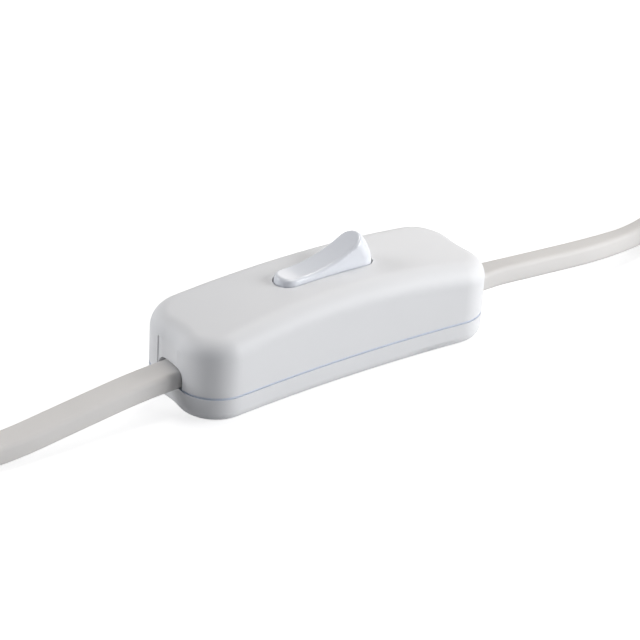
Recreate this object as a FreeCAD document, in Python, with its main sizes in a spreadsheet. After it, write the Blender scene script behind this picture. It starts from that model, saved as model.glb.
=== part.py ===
import FreeCAD, Part
import math
import os
import re
import Sketcher
from FreeCAD import Rotation, Vector

# Inline rocker switch on a flat two-core cord. Millimetres.
# X runs along the cord with the supply side at -X, and Z is up.
# The origin is the middle of the housing's underside.

SIZES = {
    # Housing shell
    "body_length": 73.8,
    "body_width": 25.2,
    "body_height": 20.1,
    "camber": 3.5,
    "corner_share": 0.325,
    "side_hollow": 1.1,
    "end_hollow": 0.4,
    "top_round": 4.35,
    "bottom_round": 2.3,
    "wall": 1.8,
    "least_round": 0.8,
    # Parting seam
    "seam_height": 5.3,
    "seam_gap": 0.5,
    "seam_depth": 0.35,
    "lip_height": 1.0,
    "lip_clear": 0.1,
    # Cord and the slots it leaves by
    "cord_width": 6.4,
    "cord_thick": 4.0,
    "cord_round": 1.5,
    "cord_lift": 0.1,
    "cord_side": -0.9,
    "slot_width": 8.2,
    "slot_height": 4.25,
    "slot_round": 1.9,
    "recess_width": 8.8,
    "recess_height": 8.4,
    "recess_rise": 0.2,
    # Rocker
    "pivot_depth": 2.0,
    "rocker_reach": 11.7,
    "rocker_width": 5.9,
    "rocker_gap": 0.25,
    "rocker_sink": 1.4,
    "rocker_crown": 2.2,
    "rocker_edge": 0.7,
    "rocker_wall": 1.3,
    "dish_radius": 28.0,
    "rocker_tilt": 15.0,
    "trunnion_radius": 1.0,
    "trunnion_clear": 0.05,
    "trunnion_entry": 1.7,
    "lug_width": 4.8,
    "lug_thick": 1.7,
    "lug_drop": 2.6,
    # Snap plunger and its spring, measured from the rocker's pivot
    "stem_radius": 2.4,
    "stem_reach": 8.0,
    "plunger_radius": 1.5,
    "plunger_clear": 0.05,
    "plunger_head": 5.5,
    "plunger_reach": 11.0,
    "spigot_radius": 0.55,
    "spigot_length": 1.2,
    "spring_seat": 0.7,
    "spring_wire": 0.45,
    "spring_turns": 5,
    # Contact bridge
    "strip_thick": 0.8,
    "bridge_height": 6.4,
    "bridge_length": 14.6,
    "bridge_width": 4.0,
    "bridge_tilt": 6.0,
    "bridge_pin": 0.6,
    "bridge_pin_clear": 0.04,
    "bridge_pin_end": 2.9,
    "ear_inside": 2.2,
    "ear_thick": 0.6,
    "ear_width": 3.0,
    "ear_rise": 0.8,
    "contact_reach": 5.9,
    "contact_radius": 1.5,
    "contact_thick": 0.8,
    "contact_gap": 0.05,
    "stop_gap": 0.2,
    "stop_length": 1.6,
    "stop_width": 2.4,
    # Terminals
    "seat_height": 0.8,
    "block_x": 12.0,
    "live_y": -3.0,
    "neutral_y": 6.3,
    "block_side": 4.4,
    "block_height": 5.4,
    "wire_rise": 2.4,
    "wire_hole": 1.0,
    "strip_width": 5.7,
    "link_width": 2.2,
    "live_end": 1.6,
    "pole_gap": 2.2,
    "rib_thick": 0.7,
    "rib_clear": 0.2,
    "rib_height": 7.5,
    "screw_clear": 0.03,
    "terminal_screw": 1.25,
    "terminal_head": 1.9,
    "terminal_head_height": 1.6,
    "terminal_head_lift": 0.5,
    "drive_slot": 0.5,
    "drive_depth": 0.6,
    # Cores
    "sheath_inset": 10.4,
    "core_radius": 1.2,
    "core_pitch": 3.2,
    "core_lead": 3.0,
    "strip_back": 0.5,
    "strand_radius": 0.6,
    "strand_past": 1.5,
    # Strain relief
    "clamp_inset": 6.1,
    "clamp_bar": 4.0,
    "clamp_height": 2.4,
    "clamp_span": 16.6,
    "clamp_screw_y": 6.2,
    "clamp_screw": 1.1,
    "clamp_head": 1.9,
    "clamp_head_height": 1.3,
    "clamp_screw_tip": 3.0,
    "saddle_length": 5.6,
    # Housing screws
    "boss_inset": 13.9,
    "boss_y": 6.9,
    "boss_radius": 2.5,
    "boss_foot": 3.8,
    "boss_foot_height": 4.6,
    "boss_join": 8.0,
    "housing_screw": 1.4,
    "housing_head": 2.3,
    "housing_head_height": 2.0,
    "head_clear": 0.2,
    "screw_hole_clear": 0.2,
    "screw_seat": 3.2,
    "screw_tip": 14.0,
    # Oval coils of spare cord, the plug and the stripped end, which lie on the coils
    "coil_run": 50.0,
    "coil_fold": 19.15,
    "coil_band": 8.6,
    "coil_height": 13.4,
    "lead_press": 0.1,
    "plug_width": 35.0,
    "plug_thick": 13.7,
    "plug_round": 5.0,
    "plug_waist": 24.0,
    "plug_tail_width": 12.0,
    "plug_tail_thick": 9.0,
    "plug_tail_round": 3.0,
    "plug_front": 9.0,
    "plug_length": 36.0,
    "pin_radius": 2.0,
    "pin_pitch": 18.6,
    "pin_length": 19.0,
    "tail_core_length": 22.0,
    "tail_strand_length": 7.0,
}

# Routes of the free cord, each from the housing outwards. The first point is set inside the housing.
CORD_LEFT_ROUTE = [(-43.0, -0.9, 7.4), (-60.0, -1.2, 4.6), (-82.0, -0.6, 2.6), (-101.0, 3.4, 2.1)]
CORD_RIGHT_ROUTE = [(43.0, -0.9, 7.4), (64.0, -0.4, 5.4), (88.0, 2.4, 2.7), (105.5, 6.4, 2.1)]

# The middle of each coil's fold next to the switch, and the far ends that lie on top of the coils.
COIL_LEFT_AT = (-120.0, -7.3)
COIL_RIGHT_AT = (124.0, -6.3)
PLUG_AT = (-160.0, -1.0)
PLUG_LEAD_ROUTE = [(-122.0, 12.0), (-136.0, 9.0), (-149.0, -1.0)]
LAMP_LEAD_ROUTE = [(126.0, 12.2), (143.0, 12.85)]
LAMP_END_AT = (160.0, 12.85)

# The share of the shorter straight run that a bend of a cord takes up.
BEND_SHARE = 0.45

# The quarters of a plan, counter-clockwise.
QUARTERS = ((1, 1), (-1, 1), (-1, -1), (1, -1))

CORNER = "(corner_share * body_width)"
LEAD_Z = "(coil_height + cord_thick / 2 - lead_press)"
PLUG_Z = "(coil_height + plug_thick / 2)"
CLAMP_X = "(body_length / 2 - clamp_inset)"
BOSS_X = "(body_length / 2 - boss_inset)"
SHEATH_END = "(body_length / 2 - sheath_inset)"
CORD_Z = "(seam_height + cord_lift + cord_thick / 2)"
SLOT_Y = "(cord_side / 2)"
PIVOT_Z = "(body_height - pivot_depth)"
SEAT_Z = "(wall + seat_height)"
STRIP_TOP = "(wall + seat_height + strip_thick)"
BLOCK_TOP = "(wall + seat_height + block_height)"
WIRE_Z = "(wall + seat_height + wire_rise)"
CORD_TOP = "(seam_height + cord_lift + cord_thick)"

doc = FreeCAD.newDocument("inline_cord_switch")
sheet = doc.addObject("Spreadsheet::Sheet", "Sizes")
for row, (alias, size) in enumerate(SIZES.items(), start=1):
    sheet.set(f"A{row}", alias)
    sheet.set(f"B{row}", str(size))
    sheet.setAlias(f"B{row}", alias)
doc.recompute()


def in_sheet(formula):
    """A formula of size names, with each name pointed at its cell."""
    return re.sub(r"[a-z_]+", lambda m: f"Sizes.{m[0]}" if m[0] in SIZES else m[0], str(formula))


def number(formula):
    """The present value of a formula."""
    return float(sheet.evalExpression(in_sheet(formula)))


def bind(obj, **formulas):
    for prop, formula in formulas.items():
        obj.setExpression(prop, in_sheet(formula))
    return obj


def put(obj, x="0", y="0", z="0"):
    for axis, formula in zip("xyz", (x, y, z)):
        obj.setExpression(f"Placement.Base.{axis}", in_sheet(formula))
    return obj


def block(x, y, z):
    """A box between a low and a high formula on each axis."""
    obj = doc.addObject("Part::Box", "block")
    spans = dict(zip(("Length", "Width", "Height"), (x, y, z)))
    bind(obj, **{side: f"({high}) - ({low})" for side, (low, high) in spans.items()})
    return put(obj, x[0], y[0], z[0])


def centred(middle, size):
    """The low and high formulas of a size about a middle."""
    return f"({middle}) - ({size}) / 2", f"({middle}) + ({size}) / 2"


AXIS_TURN = {
    "x": Rotation(Vector(0, 1, 0), 90),
    "y": Rotation(Vector(1, 0, 0), -90),
    "z": Rotation(),
}


def rod(axis, radius, low, high, **across):
    """A cylinder along an axis, between two formulas, at its other two coordinates."""
    obj = doc.addObject("Part::Cylinder", "rod")
    obj.Placement.Rotation = AXIS_TURN[axis]
    bind(obj, Radius=radius, Height=f"({high}) - ({low})")
    return put(obj, **{axis: low, **across})


def ball(radius, **place):
    obj = doc.addObject("Part::Sphere", "ball")
    bind(obj, Radius=radius)
    return put(obj, **place)


def fuse(*parts):
    obj = doc.addObject("Part::MultiFuse", "fuse")
    obj.Shapes = list(parts)
    obj.Refine = True
    return obj


def common(first, second):
    obj = doc.addObject("Part::MultiCommon", "common")
    obj.Shapes = [first, second]
    return obj


def cut(base, *tools):
    obj = doc.addObject("Part::Cut", "cut")
    obj.Base = base
    obj.Tool = tools[0] if len(tools) == 1 else fuse(*tools)
    obj.Refine = True
    return obj


def group(parts):
    obj = doc.addObject("Part::Compound", "group")
    obj.Links = parts
    return obj


def fillet(base, rounds):
    """Round the edges of faces: rounds pairs a face's test with its radius formula."""
    doc.recompute()
    obj = doc.addObject("Part::Fillet", "fillet")
    obj.Base = base
    numbered = list(enumerate(base.Shape.Edges, start=1))
    radii = {}
    for wanted, radius in rounds:
        for face in filter(wanted, base.Shape.Faces):
            ring = [i for i, edge in numbered if any(edge.isSame(e) for e in face.Edges)]
            radii.update({i: number(radius) for i in ring})
    obj.Edges = [(i, radius, radius) for i, radius in radii.items()]
    return obj


def faces_along(direction):
    """A test for the faces whose middle looks along a direction."""
    def test(face):
        u0, u1, v0, v1 = face.ParameterRange
        return face.normalAt((u0 + u1) / 2, (v0 + v1) / 2).dot(direction) > 0.99
    return test


def sketch_arc(centre, radius, start, end):
    circle = Part.Circle(Vector(*centre, 0), Vector(0, 0, 1), radius)
    return Part.ArcOfCircle(circle, start, end)


def constrain(sketch, kind, *where, size=None):
    """Add a constraint, bound to a size formula where it has one."""
    if size is None:
        sketch.addConstraint(Sketcher.Constraint(kind, *where))
        return
    index = sketch.addConstraint(Sketcher.Constraint(kind, *where, number(size)))
    sketch.setExpression(f"Constraints[{index}]", in_sheet(size))


def corner_centres(sketch, corners, half_x, half_y):
    """Hold four corner arcs, counter-clockwise from +X +Y, at their centres."""
    for arc, (x, y) in zip(corners, QUARTERS):
        constrain(sketch, "DistanceX", -1, 1, arc, 3, size=f"{x} * ({half_x})")
        constrain(sketch, "DistanceY", -1, 1, arc, 3, size=f"{y} * ({half_y})")


def plan_sketch(inset):
    """The housing's plan, set in from its skin: four round corners and four hollow sides."""
    sketch = doc.addObject("Sketcher::SketchObject", "plan")
    half_x, half_y = f"body_length / 2 - {CORNER}", f"body_width / 2 - {CORNER}"
    corner = f"{CORNER} - {inset}"
    span = "({hollow}^2 + ({half})^2) / (2 * {hollow})"
    end_span = span.format(hollow="end_hollow", half=half_y)
    side_span = span.format(hollow="side_hollow", half=half_x)
    x, y, radius = number(half_x), number(half_y), number(corner)
    far_x = x + number(end_span) - number("end_hollow")
    far_y = y + number(side_span) - number("side_hollow")
    end_turn = math.atan2(y, far_x - x)
    side_turn = math.atan2(x, far_y - y)
    end_radius = f"{end_span} - {CORNER} + {inset}"
    side_radius = f"{side_span} - {CORNER} + {inset}"
    quarter = math.pi / 2
    hollow_centres = ((0, far_y), (-far_x, 0), (0, -far_y), (far_x, 0))
    arcs = []
    for turn, (side_x, side_y) in enumerate(QUARTERS):
        lengthwise = turn % 2 == 0
        first, last = (end_turn, side_turn) if lengthwise else (side_turn, end_turn)
        facing = turn * quarter
        arcs.append(sketch_arc((side_x * x, side_y * y), radius, facing - first, facing + quarter + last))
        inward = facing + 3 * quarter
        reach = number(side_radius if lengthwise else end_radius)
        arcs.append(sketch_arc(hollow_centres[turn], reach, inward - last, inward + last))
    sketch.addGeometry(arcs, False)
    corner_centres(sketch, (0, 2, 4, 6), half_x, half_y)
    constrain(sketch, "Radius", 0, size=corner)
    for arc in (2, 4, 6):
        constrain(sketch, "Equal", 0, arc)
    for turn in range(4):
        round_arc, hollow_arc, next_arc = 2 * turn, 2 * turn + 1, (2 * turn + 2) % 8
        constrain(sketch, "Tangent", round_arc, 2, hollow_arc, 2)
        constrain(sketch, "Tangent", hollow_arc, 1, next_arc, 1)
        constrain(sketch, "Radius", hollow_arc, size=side_radius if turn % 2 == 0 else end_radius)
    return sketch


def extrude(sketch, low, high):
    """Push a level sketch up from a low to a high formula."""
    put(sketch, z=low)
    obj = doc.addObject("Part::Extrusion", "extrusion")
    obj.Base = sketch
    obj.DirMode = "Custom"
    obj.Dir = Vector(0, 0, 1)
    obj.Solid = True
    return bind(obj, LengthFwd=f"({high}) - ({low})")


def plan_solid(inset, low, high):
    return extrude(plan_sketch(inset), low, high)


def housing_form(inset):
    """The housing's whole form, set in from its skin: cambered top, round upper and lower edges."""
    camber_radius = "(body_length^2 / 4 + camber^2) / (2 * camber)"
    crown = rod(
        "y", f"{camber_radius} - {inset}", "-body_width", "body_width",
        z=f"body_height - {camber_radius}",
    )
    blank = common(plan_solid(inset, inset, "body_height"), crown)
    return fillet(blank, [
        (faces_along(Vector(0, 0, 1)), f"max(top_round - {inset}; least_round)"),
        (faces_along(Vector(0, 0, -1)), f"max(bottom_round - {inset}; least_round)"),
    ])


def cord_slot(side):
    """The arched slot in one end wall, with the flat round its mouth."""
    outer = f"{side} * body_length"
    inner = f"{side} * (body_length / 2 - end_hollow - 2 * wall)"
    x = (inner, outer) if side > 0 else (outer, inner)
    arch_side = "slot_width / 2 - slot_round"
    low, top = "seam_height", "seam_height + slot_height"
    tools = [
        block(x, centred(SLOT_Y, "slot_width"), (low, f"{top} - slot_round")),
        block(x, centred(SLOT_Y, f"2 * ({arch_side})"), (low, top)),
    ]
    for y in (f"{SLOT_Y} - ({arch_side})", f"{SLOT_Y} + {arch_side}"):
        tools.append(rod("x", "slot_round", *x, y=y, z=f"{top} - slot_round"))
    flat = f"{side} * (body_length / 2 - end_hollow + recess_rise)"
    flat_x = (flat, outer) if side > 0 else (outer, flat)
    tools.append(block(flat_x, centred(SLOT_Y, "recess_width"), (low, "seam_height + recess_height")))
    return tools


def wheel(reach, width):
    """A wheel about the Y axis with a half-round rim, as the rocker sweeps it."""
    sketch = doc.addObject("Sketcher::SketchObject", "wheel_profile")
    rim = f"({width}) / 2"
    middle = f"({reach}) - {rim}"
    x, y = number(middle), number(rim)
    sketch.addGeometry([
        Part.LineSegment(Vector(0, -y, 0), Vector(x, -y, 0)),
        sketch_arc((x, 0), y, -math.pi / 2, math.pi / 2),
        Part.LineSegment(Vector(x, y, 0), Vector(0, y, 0)),
        Part.LineSegment(Vector(0, y, 0), Vector(0, -y, 0)),
    ], False)
    constrain(sketch, "Tangent", 0, 2, 1, 1)
    constrain(sketch, "Tangent", 1, 2, 2, 1)
    constrain(sketch, "Coincident", 2, 2, 3, 1)
    constrain(sketch, "Coincident", 3, 2, 0, 1)
    constrain(sketch, "PointOnObject", 3, 1, -2)
    constrain(sketch, "PointOnObject", 3, 2, -2)
    constrain(sketch, "PointOnObject", 1, 3, -1)
    constrain(sketch, "Horizontal", 0)
    constrain(sketch, "Horizontal", 2)
    constrain(sketch, "Radius", 1, size=rim)
    constrain(sketch, "DistanceX", -1, 1, 1, 3, size=middle)
    obj = doc.addObject("Part::Revolution", "wheel")
    obj.Source = sketch
    obj.Axis = Vector(0, 1, 0)
    obj.Angle = 360
    obj.Solid = True
    return obj


def housing_screw_places():
    return [(f"-{BOSS_X}", "-boss_y"), (BOSS_X, "boss_y")]


def top_cover():
    """The upper shell, with the rocker's opening and lugs, the cord slots and the screw bosses."""
    upper = common(OUTER, block(
        centred("0", "2 * body_length"), centred("0", "2 * body_width"), ("seam_height", "2 * body_height"),
    ))
    groove = cut(
        plan_solid("(-wall)", "seam_height - seam_gap", "seam_height + seam_gap"),
        plan_solid("seam_depth", "seam_height - 2 * seam_gap", "seam_height + 2 * seam_gap"),
    )
    rebate = plan_solid("(wall / 2)", "0", "seam_height + lip_height + lip_clear")
    shell = cut(upper, CAVITY, rebate, groove)
    opening_side = "rocker_width / 2 + rocker_gap"
    inner = []
    for side in (1, -1):
        faces = (f"{side} * ({opening_side})", f"{side} * ({opening_side} + lug_thick)")
        inner.append(block(
            centred("0", "lug_width"), faces[::side], (f"{PIVOT_Z} - lug_drop", "body_height - wall / 2"),
        ))
    for x, y in housing_screw_places():
        inner.append(rod("z", "boss_radius", "boss_join", "2 * body_height", x=x, y=y))
    whole = fuse(shell, common(fuse(*inner), upper))
    opening = put(wheel("rocker_reach + rocker_gap", "rocker_width + 2 * rocker_gap"), z=PIVOT_Z)
    tools = [opening, *cord_slot(-1), *cord_slot(1)]
    lug_end = f"{opening_side} + lug_thick"
    tools.append(rod("y", "trunnion_radius + trunnion_clear", f"-({lug_end})", lug_end, z=PIVOT_Z))
    tools.append(block(
        centred("0", "trunnion_entry"),
        centred("0", f"2 * ({lug_end})"),
        (f"{PIVOT_Z} - 2 * lug_drop", PIVOT_Z),
    ))
    for x, y in housing_screw_places():
        tools.append(rod("z", "housing_screw + screw_clear", "0", "screw_tip + screw_clear", x=x, y=y))
    return cut(whole, *tools)


def bottom_cover():
    """The lower shell, with its lip, terminal seats, pole barriers, cord saddles and screw bosses."""
    lower = common(OUTER, block(
        centred("0", "2 * body_length"), centred("0", "2 * body_width"), ("0", "seam_height"),
    ))
    lip = cut(
        plan_solid("(wall / 2 + lip_clear)", "seam_height - wall / 2", "seam_height + lip_height"),
        plan_solid("wall", "0", "2 * body_height"),
        *[tool for side in (-1, 1) for tool in cord_slot(side)],
    )
    shell = fuse(cut(lower, CAVITY), lip)
    inner = [
        block(
            centred("0", "2 * block_x + block_side"),
            centred("live_y", "block_side"),
            ("wall / 2", SEAT_Z),
        ),
        block(centred("0", "2 * block_x + block_side"), centred("0", "strip_width"), ("wall / 2", SEAT_Z)),
        block(
            centred("0", "2 * block_x + block_side"),
            centred("neutral_y", "block_side"),
            ("wall / 2", SEAT_Z),
        ),
        block(
            centred("0", "2 * block_x + block_side"),
            ("bridge_pin_end + rib_clear", "bridge_pin_end + rib_clear + rib_thick"),
            ("wall / 2", "rib_height"),
        ),
        block(
            centred("live_end + pole_gap / 2", "rib_thick"), centred("0", "strip_width"),
            ("wall / 2", f"{STRIP_TOP} + rib_thick"),
        ),
    ]
    for side in (-1, 1):
        inner.append(block(
            centred(f"{side} * {CLAMP_X}", "saddle_length"), centred("0", "clamp_span"),
            ("wall / 2", "seam_height + cord_lift"),
        ))
    for x, y in housing_screw_places():
        inner.append(rod("z", "boss_foot", "0", "boss_foot_height", x=x, y=y))
        inner.append(rod("z", "boss_radius", "0", "boss_join", x=x, y=y))
    whole = fuse(shell, common(fuse(*inner), OUTER))
    tools = []
    for x, y in housing_screw_places():
        tools.append(rod("z", "housing_screw + screw_hole_clear", "-wall", "2 * boss_join", x=x, y=y))
        tools.append(rod("z", "housing_head + head_clear", "-wall", "screw_seat", x=x, y=y))
    for x, y in clamp_screw_places():
        tools.append(rod(
            "z", "clamp_screw + screw_clear", "clamp_screw_tip - screw_clear", "body_height", x=x, y=y,
        ))
    return cut(whole, *tools)


def tilted(obj, height, tilt):
    """Stand a piece that was drawn about its pivot at its height, turned about Y by its rest angle."""
    put(obj, z=height)
    obj.Placement.Rotation = Rotation(Vector(0, 1, 0), 1)
    obj.setExpression("Placement.Rotation.Angle", in_sheet(tilt))
    return obj


def rocker():
    """The key: a slice of a round-rimmed wheel, dished on top, with trunnions and a hollow stem."""
    half = "rocker_width / 2"
    slab = block(
        centred("0", "3 * rocker_reach"),
        centred("0", "2 * rocker_width"),
        ("-rocker_sink", "2 * rocker_reach"),
    )
    dish = rod(
        "y", "dish_radius", "-rocker_width", "rocker_width", z="pivot_depth + rocker_crown + dish_radius",
    )
    blank = cut(common(wheel("rocker_reach", "rocker_width"), slab), dish)
    key = fillet(blank, [(lambda face: isinstance(face.Surface, Part.Cylinder), "rocker_edge")])
    trunnion_end = f"{half} + rocker_gap + lug_thick - trunnion_clear"
    whole = fuse(
        key,
        rod("y", "trunnion_radius", f"-({trunnion_end})", trunnion_end),
        rod("z", "stem_radius", "-stem_reach", "0"),
    )
    tools = [rod("z", "plunger_radius + plunger_clear", "-2 * stem_reach", "-spring_seat")]
    for side in (-1, 1):
        faces = (f"{side} * (stem_radius + rocker_wall)", f"{side} * (rocker_reach - 2 * rocker_wall)")
        tools.append(block(
            faces[::side],
            centred("0", "rocker_width - 2 * rocker_wall"),
            ("-2 * rocker_sink", "rocker_sink"),
        ))
    return tilted(cut(whole, *tools), PIVOT_Z, "-rocker_tilt")


def spring_plunger():
    """The sprung pin in the rocker's stem: a ball-ended rod with a spigot inside the spring."""
    tip = "-(plunger_reach - plunger_radius)"
    whole = fuse(
        rod("z", "plunger_radius", tip, "-plunger_head"),
        rod("z", "spigot_radius", "-plunger_head", "spigot_length - plunger_head"),
        ball("plunger_radius", z=tip),
    )
    return tilted(whole, PIVOT_Z, "-rocker_tilt")


def rocker_spring():
    """The compression spring between the stem's seat and the plunger's head."""
    wire = number("spring_wire")
    radius = number("plunger_radius") - wire / 2
    low, high = -number("plunger_head") + wire / 2, -number("spring_seat") - wire / 2
    pitch = (high - low) / number("spring_turns")
    helix = Part.makeHelix(pitch, high - low, radius)
    helix.translate(Vector(0, 0, low))
    section = Part.Wire(Part.makeCircle(wire / 2, Vector(radius, 0, low), Vector(0, 1, 0)))
    coil = Part.Wire(helix.Edges).makePipeShell([section], True, True)
    obj = doc.addObject("Part::Feature", "spring")
    obj.Shape = coil
    return tilted(obj, PIVOT_Z, "-rocker_tilt")


def contact_bridge():
    """The rocking strip, with a round pin on each side."""
    whole = fuse(
        block(centred("0", "bridge_length"), centred("0", "bridge_width"), centred("0", "strip_thick")),
        rod("y", "bridge_pin", "-bridge_pin_end", "bridge_pin_end"),
    )
    return tilted(whole, "bridge_height", "bridge_tilt")


def moving_contact():
    button = rod(
        "z", "contact_radius", "-strip_thick / 2 - contact_thick", "-strip_thick / 2", x="contact_reach",
    )
    return tilted(group([button]), "bridge_height", "bridge_tilt")


def fixed_contact():
    """The button under the bridge, up to just short of the moving one at rest."""
    top = (
        "bridge_height - (contact_reach + contact_radius) * sin(bridge_tilt)"
        " - (strip_thick / 2 + contact_thick) * cos(bridge_tilt) - contact_gap"
    )
    return rod("z", "contact_radius", STRIP_TOP, top, x="contact_reach")


def terminal_block(x, y):
    return block(centred(x, "block_side"), centred(y, "block_side"), (SEAT_Z, BLOCK_TOP))


def terminal_holes(x, y):
    """The wire's hole along X and the screw's hole from above."""
    return [
        rod("x", "wire_hole", f"({x}) - block_side", f"({x}) + block_side", y=y, z=WIRE_Z),
        rod("z", "terminal_screw + screw_clear", WIRE_Z, "body_height", x=x, y=y),
    ]


def live_in_terminal():
    """The supply terminal: its block, the strip to the middle and the ears that carry the bridge."""
    parts = [
        terminal_block("-block_x", "live_y"),
        block(("-block_x", "live_end"), centred("0", "strip_width"), (SEAT_Z, STRIP_TOP)),
    ]
    for side in (-1, 1):
        faces = (f"{side} * ear_inside", f"{side} * (ear_inside + ear_thick)")
        parts.append(block(
            centred("0", "ear_width"), faces[::side], (SEAT_Z, "bridge_height + ear_rise"),
        ))
    notch = "bridge_pin + bridge_pin_clear"
    notches = [
        rod("y", notch, "-strip_width", "strip_width", z="bridge_height"),
        block(
            centred("0", f"2 * ({notch})"),
            centred("0", "2 * strip_width"),
            ("bridge_height", "2 * bridge_height"),
        ),
    ]
    stop_top = (
        "bridge_height - contact_reach * sin(bridge_tilt) - strip_thick * cos(bridge_tilt) / 2 - stop_gap"
    )
    parts.append(block(
        centred("-contact_reach", "stop_length"), centred("0", "stop_width"), (SEAT_Z, stop_top),
    ))
    return cut(fuse(*parts), *notches, *terminal_holes("-block_x", "live_y"))


def live_out_terminal():
    """The lamp side's terminal: its block and the strip under the fixed contact."""
    whole = fuse(
        terminal_block("block_x", "live_y"),
        block(("live_end + pole_gap", "block_x"), centred("0", "strip_width"), (SEAT_Z, STRIP_TOP)),
    )
    return cut(whole, *terminal_holes("block_x", "live_y"))


def neutral_link():
    """The unswitched pole: a strip with a terminal block at each end."""
    whole = fuse(
        block(("-block_x", "block_x"), centred("neutral_y", "link_width"), (SEAT_Z, STRIP_TOP)),
        terminal_block("-block_x", "neutral_y"),
        terminal_block("block_x", "neutral_y"),
    )
    return cut(whole, *terminal_holes("-block_x", "neutral_y"), *terminal_holes("block_x", "neutral_y"))


def screw(x, y, shank, tip, seat, head, head_height):
    """A slotted screw that points down, with the underside of its head at its seat."""
    top = f"({seat}) + ({head_height})"
    whole = fuse(rod("z", shank, tip, seat, x=x, y=y), rod("z", head, seat, top, x=x, y=y))
    slot = block(centred(x, f"3 * ({head})"), centred(y, "drive_slot"), centred(top, "2 * drive_depth"))
    return cut(whole, slot)


def terminal_screws():
    places = [(x, y) for x in ("-block_x", "block_x") for y in ("live_y", "neutral_y")]
    return group([
        screw(
            x, y, "terminal_screw", f"{WIRE_Z} + strand_radius", f"{BLOCK_TOP} + terminal_head_lift",
            "terminal_head", "terminal_head_height",
        )
        for x, y in places
    ])


def clamp_screw_places():
    return [(x, y) for x in (f"-{CLAMP_X}", CLAMP_X) for y in ("-clamp_screw_y", "clamp_screw_y")]


def clamp_screws():
    return group([
        screw(
            x, y, "clamp_screw", "clamp_screw_tip", f"{CORD_TOP} + clamp_height",
            "clamp_head", "clamp_head_height",
        )
        for x, y in clamp_screw_places()
    ])


def cord_clamp(side):
    """The bar across the cord, with its two screw holes."""
    bar = block(
        centred(f"{side} * {CLAMP_X}", "clamp_bar"), centred("0", "clamp_span"),
        (CORD_TOP, f"{CORD_TOP} + clamp_height"),
    )
    holes = [
        rod("z", "clamp_screw + screw_clear", "0", "body_height", x=f"{side} * {CLAMP_X}", y=y)
        for y in ("-clamp_screw_y", "clamp_screw_y")
    ]
    return cut(bar, *holes)


def housing_screws():
    """The two screws from beneath, heads down in their counterbores."""
    under = "screw_seat - housing_head_height"
    parts = []
    for x, y in housing_screw_places():
        whole = fuse(
            rod("z", "housing_screw", "screw_seat", "screw_tip", x=x, y=y),
            rod("z", "housing_head", under, "screw_seat", x=x, y=y),
        )
        parts.append(cut(whole, block(
            centred(x, "3 * housing_head"), centred(y, "drive_slot"), centred(under, "2 * drive_depth"),
        )))
    return group(parts)


def rounded_path(points):
    """Straight runs joined by the largest tangent arcs that their runs allow, and the arcs' radii."""
    edges, radii = [], []
    start = points[0]
    for before, corner, after in zip(points, points[1:], points[2:]):
        back, on = before - corner, after - corner
        turn = math.pi - back.getAngle(on)
        trim = BEND_SHARE * min(back.Length, on.Length)
        radius = trim / math.tan(turn / 2)
        inward = (back.normalize() + on.normalize()).normalize()
        middle = corner + inward * (radius / math.cos(turn / 2) - radius)
        arc = Part.Arc(corner + back * trim, middle, corner + on * trim)
        edges += [Part.LineSegment(start, arc.StartPoint).toShape(), arc.toShape()]
        radii.append(radius)
        start = arc.EndPoint
    edges.append(Part.LineSegment(start, points[-1]).toShape())
    return Part.Wire(edges), radii


def flat_section(width, thick, corner):
    """The cord's section as a closed wire about the origin, its width along X and thickness along Y."""
    plate = Part.makeBox(width, thick, 1, Vector(-width / 2, -thick / 2, -0.5))
    upright = [e for e in plate.Edges if abs(e.tangentAt(0).z) > 0.9]
    return plate.makeFillet(corner, upright).slice(Vector(0, 0, 1), 0)[0]


def tube(name, points, section, level=True):
    """A section swept along a route, with its volume compared with its length. A flat one stays level."""
    points = [Vector(*p) for p in points]
    path, radii = rounded_path(points)
    ahead = (points[1] - points[0]).normalize()
    across = ahead.cross(Vector(0, 0, 1)).normalize()
    upward = across.cross(ahead)
    frame = FreeCAD.Matrix(
        across.x, upward.x, ahead.x, points[0].x,
        across.y, upward.y, ahead.y, points[0].y,
        across.z, upward.z, ahead.z, points[0].z,
    )
    wire = section.copy()
    wire.transformShape(frame)
    shell = Part.BRepOffsetAPI.MakePipeShell(path)
    if level:
        shell.setBiNormalMode(Vector(0, 0, 1))
    shell.add(wire)
    shell.build()
    shell.makeSolid()
    obj = doc.addObject("Part::Feature", name)
    obj.Shape = shell.shape()
    expected = Part.Face(section).Area * path.Length
    print(
        f"{name}: length {path.Length:.1f}, radii {[round(r, 1) for r in radii]},"
        f" volume {obj.Shape.Volume:.1f} of {expected:.1f}"
    )
    return obj


def cord_section():
    return flat_section(number("cord_width"), number("cord_thick"), number("cord_round"))


def cord(name, side, route):
    """A sheath from its end inside the housing, along its route."""
    start = (side * number(SHEATH_END), number("cord_side"), number(CORD_Z))
    return tube(name, [start, *route], cord_section())


def core_end(side, pole_y):
    return side * (number("block_x + block_side / 2 + strip_back")), number(pole_y), number(WIRE_Z)


def core(name, side, pole, pole_y):
    """An insulated core from the end of the sheath to its terminal."""
    start = (side * number(SHEATH_END), number(f"cord_side + {pole} * core_pitch / 2"), number(CORD_Z))
    end = core_end(side, pole_y)
    lead = side * number("core_lead")
    points = [start, (start[0] - lead, *start[1:]), (end[0] + lead, *end[1:]), end]
    section = Part.Wire(Part.makeCircle(number("core_radius")))
    return tube(name, points, section, level=False)


def strands(side, pole_y):
    """The bare end of a core, through its terminal's wire hole and under the screw."""
    outer = f"{side} * (block_x + block_side / 2 + strip_back)"
    inner = f"{side} * (block_x - strand_past)"
    ends = (outer, inner) if side < 0 else (inner, outer)
    return rod("x", "strand_radius", *ends, y=pole_y, z=WIRE_Z)


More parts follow.
